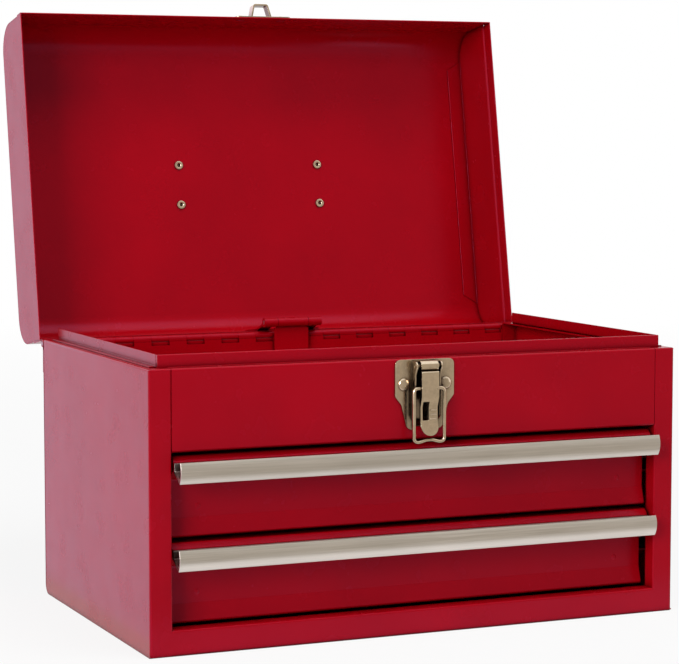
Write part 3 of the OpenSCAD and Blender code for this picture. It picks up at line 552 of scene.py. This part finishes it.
def new_tree(name, sockets):
    """An empty tree with a geometry in and out and these named inputs."""
    tree = bpy.data.node_groups.new(name, "GeometryNodeTree")
    tree.interface.new_socket("Geometry", in_out="INPUT", socket_type="NodeSocketGeometry")
    for label, kind, default in sockets:
        socket = tree.interface.new_socket(label, in_out="INPUT", socket_type=kind)
        if default is not None:
            socket.default_value = default
    tree.interface.new_socket("Material", in_out="INPUT", socket_type="NodeSocketMaterial")
    tree.interface.new_socket("Geometry", in_out="OUTPUT", socket_type="NodeSocketGeometry")
    return tree, tree.nodes.new("NodeGroupInput"), tree.nodes.new("NodeGroupOutput")


def close_tree(tree, source, group_in, group_out):
    """Realizes what comes in and gives it the tree's material."""
    realize = tree.nodes.new("GeometryNodeRealizeInstances")
    paint = tree.nodes.new("GeometryNodeSetMaterial")
    tree.links.new(source, realize.inputs["Geometry"])
    tree.links.new(realize.outputs["Geometry"], paint.inputs["Geometry"])
    tree.links.new(group_in.outputs["Material"], paint.inputs["Material"])
    tree.links.new(paint.outputs["Geometry"], group_out.inputs["Geometry"])


def row_tree():
    """Repeats the geometry in rows and columns, centred on the origin."""
    tree, group_in, group_out = new_tree("rows_and_columns", [
        ("Columns", "NodeSocketInt", 2), ("Column Pitch", "NodeSocketFloat", 0.01),
        ("Rows", "NodeSocketInt", 1), ("Row Pitch", "NodeSocketFloat", 0.01),
    ])
    add, link = tree.nodes.new, tree.links.new
    source = group_in.outputs["Geometry"]
    for count, pitch, axis in (("Columns", "Column Pitch", "X"), ("Rows", "Row Pitch", "Y")):
        step = add("ShaderNodeCombineXYZ")
        link(group_in.outputs[pitch], step.inputs[axis])
        less = add("ShaderNodeMath")
        less.operation = "MULTIPLY_ADD"
        link(group_in.outputs[count], less.inputs[0])
        less.inputs[1].default_value = -0.5
        less.inputs[2].default_value = 0.5
        start = add("ShaderNodeVectorMath")
        start.operation = "SCALE"
        link(step.outputs["Vector"], start.inputs[0])
        link(less.outputs[0], start.inputs["Scale"])
        line = add("GeometryNodeMeshLine")
        line.mode = "OFFSET"
        link(group_in.outputs[count], line.inputs["Count"])
        link(start.outputs["Vector"], line.inputs["Start Location"])
        link(step.outputs["Vector"], line.inputs["Offset"])
        spread = add("GeometryNodeInstanceOnPoints")
        link(line.outputs["Mesh"], spread.inputs["Points"])
        link(source, spread.inputs["Instance"])
        source = spread.outputs["Instances"]
    close_tree(tree, source, group_in, group_out)
    return tree


def wire_tree():
    """Draws round wire along a run of edges, with its corners bent to a radius."""
    tree, group_in, group_out = new_tree("bent_wire", [
        ("Wire Radius", "NodeSocketFloat", 0.001), ("Bend Radius", "NodeSocketFloat", 0.003),
        ("Bend Steps", "NodeSocketInt", 8), ("Sides", "NodeSocketInt", 24),
    ])
    add, link = tree.nodes.new, tree.links.new
    path = add("GeometryNodeMeshToCurve")
    link(group_in.outputs["Geometry"], path.inputs["Mesh"])
    bend = add("GeometryNodeFilletCurve")
    bend.mode = "POLY"
    link(path.outputs["Curve"], bend.inputs["Curve"])
    link(group_in.outputs["Bend Steps"], bend.inputs["Count"])
    link(group_in.outputs["Bend Radius"], bend.inputs["Radius"])
    bend.inputs["Limit Radius"].default_value = True
    ring = add("GeometryNodeCurvePrimitiveCircle")
    link(group_in.outputs["Sides"], ring.inputs["Resolution"])
    link(group_in.outputs["Wire Radius"], ring.inputs["Radius"])
    skin = add("GeometryNodeCurveToMesh")
    link(bend.outputs["Curve"], skin.inputs["Curve"])
    link(ring.outputs["Curve"], skin.inputs["Profile Curve"])
    skin.inputs["Fill Caps"].default_value = True
    close_tree(tree, skin.outputs["Mesh"], group_in, group_out)
    return tree


def grown(name, mesh, tree, material, **values):
    """Runs a tree on a mesh and keeps the result as the piece's plain mesh."""
    piece = new_piece(name, mesh)
    modifier = piece.modifiers.new(tree.name, "NODES")
    modifier.node_group = tree
    values["Material"] = material
    for socket in tree.interface.items_tree:
        if socket.item_type == "SOCKET" and socket.in_out == "INPUT" and socket.name != "Geometry":
            key = socket.name.replace(" ", "_")
            if key in values:
                modifier[socket.identifier] = values[key]
    piece.update_tag()
    bpy.context.view_layer.update()
    graph = bpy.context.evaluated_depsgraph_get()
    plain = bpy.data.meshes.new_from_object(piece.evaluated_get(graph))
    piece.modifiers.clear()
    piece.data = plain
    plain.name = name
    plain.materials.clear()
    plain.materials.append(material)
    plain.polygons.foreach_set("material_index", [0] * len(plain.polygons))
    return piece


def wire(name, path, radius, bend, slot):
    """A bent wire along a run of points."""
    mesh = mesh_of(name, path, (), [(i, i + 1) for i in range(len(path) - 1)])
    sides = bpy.context.scene.toolbox_wire.sides
    piece = grown(name, mesh, wire_tree(), finish_for(slot), Wire_Radius=radius,
                  Bend_Radius=bend, Bend_Steps=BEND_STEPS, Sides=sides)
    face_outwards(piece.data)
    smooth_by_crease(piece.data, ROUND_CREASE, merge=False)
    return piece


def rivets(name, head, rise, grip, columns, column_pitch, rows, row_pitch, place, tail="rolled"):
    """Rivets in rows and columns, their heads on the face at z = 0, moved to their place.
    Their tails are rolled round a bore, closed, or pressed flat and painted over."""
    s = bpy.context.scene.toolbox_rivets
    angles = (0.0, 0.22, 0.45, 0.68, 0.9, 1.12, 1.33, 1.5)
    dome = [(head * math.sin(a), rise * math.cos(a)) for a in angles]
    profile = [(0.0, rise)] + dome[1:] + [(head, 0.0), (s.shank, 0.0), (s.shank, -grip)]
    roll = 0.35 * s.tail_rise if tail == "painted" else s.tail_rise
    low = -grip - roll
    lip = s.tail - 0.35 * roll
    profile += [(s.tail, -grip), (s.tail, -grip - 0.45 * roll),
                (lip + 0.2 * roll, low + 0.12 * roll), (lip - 0.15 * roll, low)]
    if tail == "rolled":
        floor = -grip + 0.3 * roll
        profile += [(s.bore + 0.3 * roll, low), (s.bore, low + 0.25 * roll),
                    (s.bore, floor), (0.0, floor)]
    else:
        profile.append((0.0, low))
    unit = lathe(name, profile, s.sides)
    face_outwards(unit)
    piece = grown(name, unit, row_tree(), finish_for("nickel"), Columns=columns,
                  Column_Pitch=column_pitch, Rows=rows, Row_Pitch=row_pitch)
    if tail == "painted":
        piece.data.materials.append(finish_for("red_paint"))
        for face in piece.data.polygons:
            face.material_index = int(face.center.z < -grip)
    piece.data.transform(place)
    smooth_by_crease(piece.data, RIM_CREASE, merge=False)
    return piece


def facing_front(x, y, z):
    """Stands what is built on the floor at this place, its top towards the front."""
    return Matrix.Translation((x, y, z)) @ Matrix.Rotation(math.radians(90), 4, "X")


# ---- Operators ----


class TOOLBOX_OT_case(bpy.types.Operator):
    """Build the enamelled case, its lips and the floor of the top well"""

    bl_idname = "toolbox.case"
    bl_label = "Case"
    bl_options = {"REGISTER", "UNDO"}

    def execute(self, context):
        for node in ("side_panel_left", "side_panel_right", "case_wrap", "front_panel",
                     "well_floor"):
            dress(node)
        for node in ("side_lip_left", "side_lip_right"):
            dress(node, edge=0.2 * MM)
        return {"FINISHED"}


class TOOLBOX_OT_drawers(bpy.types.Operator):
    """Build both drawers with their fronts, pulls and catches"""

    bl_idname = "toolbox.drawers"
    bl_label = "Drawers"
    bl_options = {"REGISTER", "UNDO"}

    def execute(self, context):
        for level in ("upper", "lower"):
            for part in ("drawer_box_", "drawer_front_", "drawer_catch_"):
                dress(part + level, edge=0.2 * MM)
            dress("drawer_pull_" + level, edge=0.3 * MM)
        return {"FINISHED"}


class TOOLBOX_OT_slides(bpy.types.Operator):
    """Build the drawer slides"""

    bl_idname = "toolbox.slides"
    bl_label = "Drawer slides"
    bl_options = {"REGISTER", "UNDO"}

    def execute(self, context):
        for level in ("upper", "lower"):
            for side in ("left", "right"):
                dress(f"slide_rail_{level}_{side}")
                dress(f"slide_runner_{level}_{side}")
        return {"FINISHED"}


class TOOLBOX_OT_hinge(bpy.types.Operator):
    """Build the piano hinge with its rolled knuckles"""

    bl_idname = "toolbox.hinge"
    bl_label = "Piano hinge"
    bl_options = {"REGISTER", "UNDO"}

    def execute(self, context):
        s = context.scene.toolbox_hinge
        tree = row_tree()
        low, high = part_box("hinge_pin")
        pitch = (high[0] - low[0]) / s.count
        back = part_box("hinge_leaf_case")[0][1]
        y, z = LID_AXIS.y, LID_AXIS.z
        near = s.knuckle + s.slot
        root, sunk = 0.7 * s.knuckle, 0.7 * s.leaf
        steps, turn = 28, 350
        for node, up, shift in (("hinge_leaf_case", -1, 0.5), ("hinge_leaf_lid", 1, -0.5)):
            outer, inner = [], []
            for leaf_y, foot, radius, run in (
                (back, 0.0, s.knuckle, outer),
                (back + s.leaf, root, s.bore, inner),
            ):
                run += [(leaf_y, z + up * near), (leaf_y, z + up * foot)]
                for i in range(steps):
                    a = math.radians(180 - turn * i / (steps - 1))
                    run.append((y + radius * math.cos(a), z - up * radius * math.sin(a)))
            knuckle = swept_strip(node, outer, inner, (s.gap - pitch) / 2, (pitch - s.gap) / 2)
            row = grown(node + "_rolled", knuckle, tree, finish_for("red_paint"),
                        Columns=s.count // 2, Column_Pitch=2 * pitch, Rows=1, Row_Pitch=pitch)
            row.data.transform(Matrix.Translation((shift * pitch, 0, 0)))
            strips = []
            for front, first, last in (
                (0.0, near, s.leaf_height),
                (sunk, s.knuckle - s.bite, near),
            ):
                ends = [z + up * first, z + up * last]
                face = [(back + front, end) for end in ends]
                rear = [(back + s.leaf, end) for end in ends]
                strips.append(swept_strip(node + "_strip", face, rear, low[0], high[0]))
            joined(row.data, strips)
            if node == "hinge_leaf_lid":
                row.data.transform(OPENED)
            smooth_by_crease(row.data, context.scene.toolbox_finish.crease, merge=False)
            even_shading(row)
            hand_over(row, node)
        dress("hinge_pin")
        return {"FINISHED"}


class TOOLBOX_OT_lid(bpy.types.Operator):
    """Build the lid"""

    bl_idname = "toolbox.lid"
    bl_label = "Lid"
    bl_options = {"REGISTER", "UNDO"}

    def execute(self, context):
        for node in ("lid_pan", "lid_end_left", "lid_end_right"):
            dress(node, edge=0.15 * MM)
        return {"FINISHED"}


class TOOLBOX_OT_lock(bpy.types.Operator):
    """Build the drawer lock that hangs from the lid"""

    bl_idname = "toolbox.lock"
    bl_label = "Drawer lock"
    bl_options = {"REGISTER", "UNDO"}

    def execute(self, context):
        for node in ("lock_bracket", "lock_pin", "lock_bar", "lock_guide"):
            dress(node)
        return {"FINISHED"}


class TOOLBOX_OT_latch(bpy.types.Operator):
    """Build the draw latch: plate, rivets, pin, lever and wire loop"""

    bl_idname = "toolbox.latch"
    bl_label = "Draw latch"
    bl_options = {"REGISTER", "UNDO"}

    def execute(self, context):
        s = context.scene.toolbox_wire
        r = context.scene.toolbox_rivets
        plate = dress("latch_plate", edge=0.1 * MM)
        low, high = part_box("latch_plate")
        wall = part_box("front_panel")[0][1]
        # A nickel strip laid on the panel behind the plate's window, put there to show as painted
        # shade behind the lever.
        half, thick, off = 7.4 * MM, 0.5 * MM, 0.05 * MM
        ends = [low[2] + 2.0 * MM, high[2] - 3.0 * MM]
        back = swept_strip("latch_back", [(wall - thick, end) for end in ends],
                           [(wall - off, end) for end in ends], -half, half)
        joined(plate.data, [back])
        dress("latch_pin", edge=0.22 * MM)
        dress("latch_lever", edge=0.12 * MM)
        low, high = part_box("latch_rivets")
        rise = r.dome_rise
        head = (high[2] - low[2]) / 2
        sheet = 0.8 * MM
        place = facing_front(0, low[1] + rise, (low[2] + high[2]) / 2)
        grip = wall - low[1] - rise + sheet
        piece = rivets("latch_rivets_dome", head, rise, grip, 2,
                       high[0] - low[0] - 2 * head, 1, 0.0, place, tail="closed")
        hand_over(piece, "latch_rivets")
        low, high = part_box("latch_loop")
        wire_r = s.loop_wire
        leg, y = high[0] - wire_r, (low[1] + high[1]) / 2
        top, foot, inside = high[2] - wire_r, low[2] + wire_r, 4.2 * MM
        dip, shoulder, crown = 1.3 * MM, 7.0 * MM, 1.9 * MM
        half = [(inside, y, top), (leg, y, top), (leg, y, foot), (shoulder, y, foot),
                (crown, y, foot + dip)]
        path = half + [(-x, y, z) for x, y, z in reversed(half)]
        hand_over(wire("latch_loop_wire", path, wire_r, s.loop_bend, "nickel"), "latch_loop")
        return {"FINISHED"}


class TOOLBOX_OT_catch(bpy.types.Operator):
    """Build the catch that the latch's loop hooks over"""

    bl_idname = "toolbox.catch"
    bl_label = "Lid catch"
    bl_options = {"REGISTER", "UNDO"}

    def execute(self, context):
        dress("catch_plate", edge=0.15 * MM)
        low, high = closed_box("catch_rivets")
        plate, grip = 1.2 * MM, 2.0 * MM
        plate_face = closed_box("lid_pan")[0].y - plate
        rise = plate_face - low.y
        place = OPENED @ facing_front(0, plate_face, (low.z + high.z) / 2)
        head = (high.z - low.z) / 2
        piece = rivets("catch_rivets_dome", head, rise, grip, 2,
                       high.x - low.x - 2 * head, 1, 0.0, place, tail="painted")
        hand_over(piece, "catch_rivets")
        return {"FINISHED"}


def ribbed_grip(bore, outer, half):
    """Radius and place along the grip: chamfered ends, and ribs between shallow grooves."""
    ribs, plain, depth = 13, 7 * MM, 0.6 * MM
    end = [(outer - 2.5 * MM, half), (outer - 0.7 * MM, half - 1 * MM), (outer, half - 3 * MM)]
    profile = [(bore, -half)] + [(radius, -place) for radius, place in end]
    pitch = (2 * half - 2 * plain) / ribs
    for i in range(ribs + 1):
        x = -half + plain + i * pitch
        profile += [(outer, x - 0.9 * MM), (outer - depth, x - 0.4 * MM),
                    (outer - depth, x + 0.4 * MM), (outer, x + 0.9 * MM)]
    return profile + end[::-1] + [(bore, half), (bore, -half)]


class TOOLBOX_OT_handle(bpy.types.Operator):
    """Build the carry handle: mounts, rivets, bail and grip"""

    bl_idname = "toolbox.handle"
    bl_label = "Carry handle"
    bl_options = {"REGISTER", "UNDO"}

    def execute(self, context):
        s = context.scene.toolbox_wire
        tail = context.scene.toolbox_rivets.tail
        for node in ("handle_mount_left", "handle_mount_right"):
            dress(node)
        low, high = closed_box("handle_rivets")
        top = closed_box("lid_pan")[1].z
        rise, sheet = 1.3 * MM, 0.8 * MM
        place = OPENED @ Matrix.Translation(
            ((low.x + high.x) / 2, (low.y + high.y) / 2, high.z - rise)
        )
        piece = rivets("handle_rivets_rolled", tail, rise, high.z - rise - top + sheet,
                       2, high.x - low.x - 2 * tail, 2, high.y - low.y - 2 * tail, place)
        hand_over(piece, "handle_rivets")
        low, high = (Vector(v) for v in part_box("handle_bail"))
        radius = s.bail_wire
        y = (low.y + high.y) / 2
        top, foot = high.z - radius, low.z + radius
        leg = 48.2 * MM
        half = [(high.x, y, top), (leg, y, top), (leg, y, foot)]
        path = half + [(-x, y, z) for x, y, z in reversed(half)]
        hand_over(wire("handle_bail_rod", path, radius, s.bail_bend, "zinc"), "handle_bail")
        low, high = (Vector(v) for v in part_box("handle_grip"))
        profile = ribbed_grip(radius + 0.05 * MM, (high.z - low.z) / 2, (high.x - low.x) / 2)
        facets = 48
        mesh = lathe("handle_grip_moulded", profile, facets)
        along = Matrix.Rotation(math.radians(90), 4, "Y")
        mesh.transform(Matrix.Translation((0, y, (low.z + high.z) / 2)) @ along)
        face_outwards(mesh)
        smooth_by_crease(mesh, ROUND_CREASE, merge=False)
        grip = new_piece("handle_grip_moulded", mesh, finish_for("black_plastic"))
        hand_over(grip, "handle_grip")
        return {"FINISHED"}


def area_lamp(name, spot, aim, strength):
    """A square lamp that looks at a point."""
    side = 1.2
    data = bpy.data.lights.new(name, "AREA")
    data.shape = "RECTANGLE"
    data.size = data.size_y = side
    data.energy = strength
    lamp = bpy.data.objects.new(name, data)
    lamp.location = spot
    lamp.rotation_euler = (Vector(aim) - Vector(spot)).to_track_quat("-Z", "Y").to_euler()
    bpy.context.scene.collection.objects.link(lamp)
    return lamp


def plane(name, corners, material):
    return new_piece(name, mesh_of(name, corners, [(0, 1, 2, 3)]), material)


def glowing(name, rgb, level):
    """A plain glow, for the panels that only gloss shows."""
    look = Shader(name)
    glow = look.add("ShaderNodeEmission")
    glow.inputs["Color"].default_value = tint(rgb)
    glow.inputs["Strength"].default_value = level
    look.tree.links.new(glow.outputs[0], look.tree.nodes["Material Output"].inputs["Surface"])
    return look.material


def rays_of(tree, *kinds):
    """1 for a ray of any of these kinds, as Light Path names them, and 0 for others."""
    path = tree.nodes.new("ShaderNodeLightPath")
    seen = path.outputs[kinds[0]]
    for kind in kinds[1:]:
        more = tree.nodes.new("ShaderNodeMath")
        more.operation = "MAXIMUM"
        tree.links.new(seen, more.inputs[0])
        tree.links.new(path.outputs[kind], more.inputs[1])
        seen = more.outputs[0]
    return seen


def pale_floor(s):
    """A floor that is seen as nearly white, whiter further off, and keeps the shadow."""
    reach, close, distant = 30.0, 0.3, 2.4
    look = Shader("pale_floor")
    tree = look.tree
    look.set(Base_Color=tint(s.floor), Roughness=0.9, Specular_IOR_Level=0.0)
    glow = look.add("ShaderNodeEmission")
    glow.inputs["Color"].default_value = (1, 1, 1, 1)
    away = look.add("ShaderNodeVectorMath", operation="LENGTH")
    look.feed(away.inputs[0], look.place)
    amount = look.add("ShaderNodeMath", operation="MULTIPLY")
    look.feed(amount.inputs[0], rays_of(tree, "Is Camera Ray", "Is Glossy Ray"))
    look.feed(amount.inputs[1],
              look.ranged(away.outputs["Value"], close, distant, s.floor_glow, 1.0))
    blend = look.add("ShaderNodeMixShader")
    tree.links.new(amount.outputs[0], blend.inputs[0])
    tree.links.new(look.surface.outputs[0], blend.inputs[1])
    tree.links.new(glow.outputs[0], blend.inputs[2])
    tree.links.new(blend.outputs[0], tree.nodes["Material Output"].inputs["Surface"])
    corners = [(-reach, -reach, 0), (reach, -reach, 0), (reach, reach, 0), (-reach, reach, 0)]
    plane("floor", corners, look.material)


def gloss_panels(s):
    """Grey panels in front and cool boards behind on the left, for the gloss alone."""
    far, left, right, near, top = -3.2, -3.0, 4.5, -0.2, 3.6
    back, past, edge, high = 7.0, -9.0, -0.2, 3.0
    grey = glowing("grey_panel", s.panel, 1.0)
    cool = glowing("cool_board", s.board, s.board_level)
    for name, corners, material in (
        ("wall_panel", [(left, far, 0), (right, far, 0), (right, far, top), (left, far, top)],
         grey),
        ("mat_panel", [(left, far, MM), (right, far, MM), (right, near, MM), (left, near, MM)],
         grey),
        ("wall_board", [(past, back, 0), (edge, back, 0), (edge, back, high), (past, back, high)],
         cool),
        ("mat_board", [(past, near, MM), (edge, near, MM), (edge, back, MM), (past, back, MM)],
         cool),
    ):
        screen = plane(name, corners, material)
        for ray in ("visible_camera", "visible_diffuse", "visible_shadow"):
            setattr(screen, ray, False)


def white_surround(s):
    """Even light from all round, which the camera and the gloss see as plain white."""
    world = bpy.data.worlds.new("studio")
    bpy.context.scene.world = world
    world.use_nodes = True
    tree = world.node_tree
    sky = tree.nodes["Background"]
    sky.inputs["Color"].default_value = (1, 1, 1, 1)
    level = tree.nodes.new("ShaderNodeMapRange")
    seen = rays_of(tree, "Is Camera Ray", "Is Glossy Ray", "Is Transmission Ray")
    tree.links.new(seen, level.inputs["Value"])
    level.inputs["To Min"].default_value = s.sky
    level.inputs["To Max"].default_value = 1.0
    tree.links.new(level.outputs["Result"], sky.inputs["Strength"])


def add_camera(s):
    """The camera, to the left of the front and a little above the box."""
    down, turned = 4.93, -23.37
    data = bpy.data.cameras.new("camera")
    data.lens = s.lens
    data.sensor_width = 36.0
    data.clip_start, data.clip_end = 0.05, 100.0
    camera = bpy.data.objects.new("camera", data)
    camera.location = (-0.6346, -1.4463, 0.3213)
    camera.rotation_euler = (math.radians(90 - down), 0.0, math.radians(turned))
    bpy.context.scene.collection.objects.link(camera)
    bpy.context.scene.camera = camera


class TOOLBOX_OT_stage(bpy.types.Operator):
    """Build the floor, the lamps, the white surround and the camera"""

    bl_idname = "toolbox.stage"
    bl_label = "Stage"
    bl_options = {"REGISTER", "UNDO"}

    def execute(self, context):
        s = context.scene.toolbox_studio
        pale_floor(s)
        gloss_panels(s)
        white_surround(s)
        area_lamp("key", (-2.1, -1.55, 1.1), (0.0, 0.0, 0.2), s.key)
        overhead = area_lamp("top", (0.5, -0.8, 2.4), (0.05, 0.0, 0.15), s.top)
        overhead.visible_glossy = False
        add_camera(s)
        context.scene.view_settings.view_transform = "Standard"
        return {"FINISHED"}


STEPS = (
    TOOLBOX_OT_case, TOOLBOX_OT_drawers, TOOLBOX_OT_slides, TOOLBOX_OT_hinge, TOOLBOX_OT_lid,
    TOOLBOX_OT_lock, TOOLBOX_OT_latch, TOOLBOX_OT_catch, TOOLBOX_OT_handle, TOOLBOX_OT_stage,
)


class TOOLBOX_PT_panel(bpy.types.Panel):
    """Lists the building steps and the settings of the tool box"""

    bl_idname = "TOOLBOX_PT_panel"
    bl_label = "Tool Box"
    bl_space_type = "VIEW_3D"
    bl_region_type = "UI"
    bl_category = "Tool Box"

    def draw(self, context):
        for step in STEPS:
            self.layout.operator(step.bl_idname)
        for key, group in SETTINGS.items():
            box = self.layout.box()
            box.label(text=group.__doc__)
            for name in group.__annotations__:
                box.prop(getattr(context.scene, key), name)


def register():
    for group in SETTINGS.values():
        bpy.utils.register_class(group)
    for step in STEPS:
        bpy.utils.register_class(step)
    bpy.utils.register_class(TOOLBOX_PT_panel)
    for key, group in SETTINGS.items():
        setattr(bpy.types.Scene, key, PointerProperty(type=group))


def unregister():
    for key in SETTINGS:
        delattr(bpy.types.Scene, key)
    bpy.utils.unregister_class(TOOLBOX_PT_panel)
    for step in reversed(STEPS):
        bpy.utils.unregister_class(step)
    for group in SETTINGS.values():
        bpy.utils.unregister_class(group)


def main():
    register()
    for step in STEPS:
        family, name = step.bl_idname.split(".")
        getattr(getattr(bpy.ops, family), name)()


if __name__ == "__main__":
    main()
